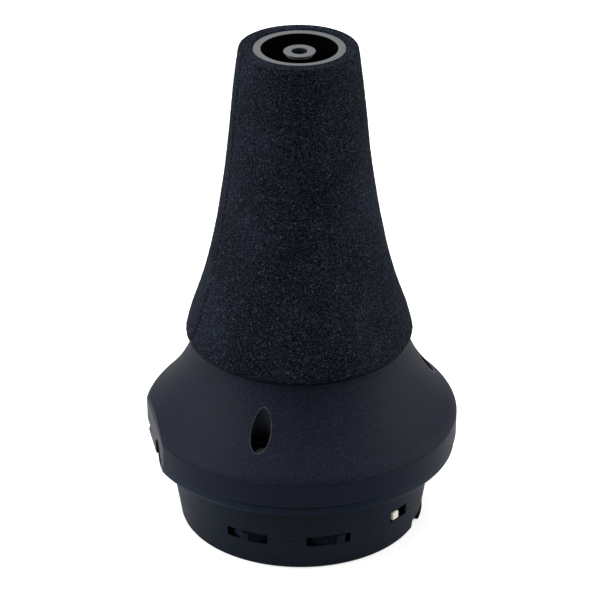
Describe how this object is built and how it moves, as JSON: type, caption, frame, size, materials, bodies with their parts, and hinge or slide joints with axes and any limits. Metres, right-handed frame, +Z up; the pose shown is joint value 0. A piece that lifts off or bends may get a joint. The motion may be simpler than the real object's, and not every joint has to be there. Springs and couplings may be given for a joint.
{
  "type": "trumpet practice mute with pickup",
  "caption": "Foam-covered cone on a round bulb that fits in a trumpet's bell, over a control base with thumbwheels, a slide switch and a turning battery cover.",
  "frame": {"origin": "centre of the foot, on the surface that the mute stands on", "axes": "+Z up along the cone towards its tip; -Y is the front, where the thumbwheels are; +X is to the right seen from the front"},
  "size_m": [0.0992, 0.0998, 0.16],
  "materials": {
    "foam": "matte",
    "shell_plastic": "matte",
    "base_plastic": "satin",
    "cover_plastic": "matte",
    "wheel_plastic": "satin",
    "inner_plastic": "matte",
    "grey_plastic": "satin",
    "ivory_plastic": "satin",
    "screw_steel": "satin",
    "rubber": "matte",
    "board": "satin",
    "mic_can": "satin",
    "cell_jacket": "satin",
    "contact_plate": "satin"
  },
  "bodies": {
    "mute_body": {"foam_sleeve": "foam", "cone_core": "inner_plastic", "tip_ring": "grey_plastic", "air_tube": "grey_plastic", "tube_spider": "inner_plastic", "upper_shell": "shell_plastic", "shell_screw_1": "screw_steel", "shell_screw_2": "screw_steel", "shell_screw_3": "screw_steel", "headphone_jack": "inner_plastic", "jack_lead": "rubber", "mic_grommet": "rubber", "pickup_mic": "mic_can", "mic_lead": "rubber", "control_housing": "base_plastic", "tube_seal": "rubber", "bottom_cap": "base_plastic", "cap_screw_1": "screw_steel", "cap_screw_2": "screw_steel", "cap_screw_3": "screw_steel", "circuit_board": "board", "signal_chip": "inner_plastic", "capacitor_1": "mic_can", "capacitor_2": "mic_can", "capacitor_3": "mic_can", "volume_pot": "inner_plastic", "tone_pot": "inner_plastic", "switch_body": "inner_plastic", "front_cell": "cell_jacket", "front_button_contact": "contact_plate", "front_spring_contact": "contact_plate", "rear_cell": "cell_jacket", "rear_button_contact": "contact_plate", "rear_spring_contact": "contact_plate"},
    "volume_wheel": {"volume_wheel": "wheel_plastic"},
    "tone_wheel": {"tone_wheel": "wheel_plastic"},
    "switch_nub": {"switch_nub": "ivory_plastic"},
    "battery_cover": {"battery_cover": "cover_plastic"}
  },
  "joints": [
    {"name": "volume_turn", "type": "hinge", "parent": "mute_body", "child": "volume_wheel", "pos_m": [-0.01324, -0.02851, 0.01065], "axis": [0, 0, 1], "range_deg": [-150, 150]},
    {"name": "tone_turn", "type": "hinge", "parent": "mute_body", "child": "tone_wheel", "pos_m": [0.00715, -0.03061, 0.01065], "axis": [0, 0, 1], "range_deg": [-171, 129]},
    {"name": "switch_slide", "type": "slide", "parent": "mute_body", "child": "switch_nub", "axis": [0.6441, 0.7649, 0], "range_m": [0, 0.0035]},
    {"name": "cover_turn", "type": "hinge", "parent": "mute_body", "child": "battery_cover", "pos_m": [0, 0, 0.0016], "axis": [0, 0, 1], "range_deg": [0, 10]}
  ]
}
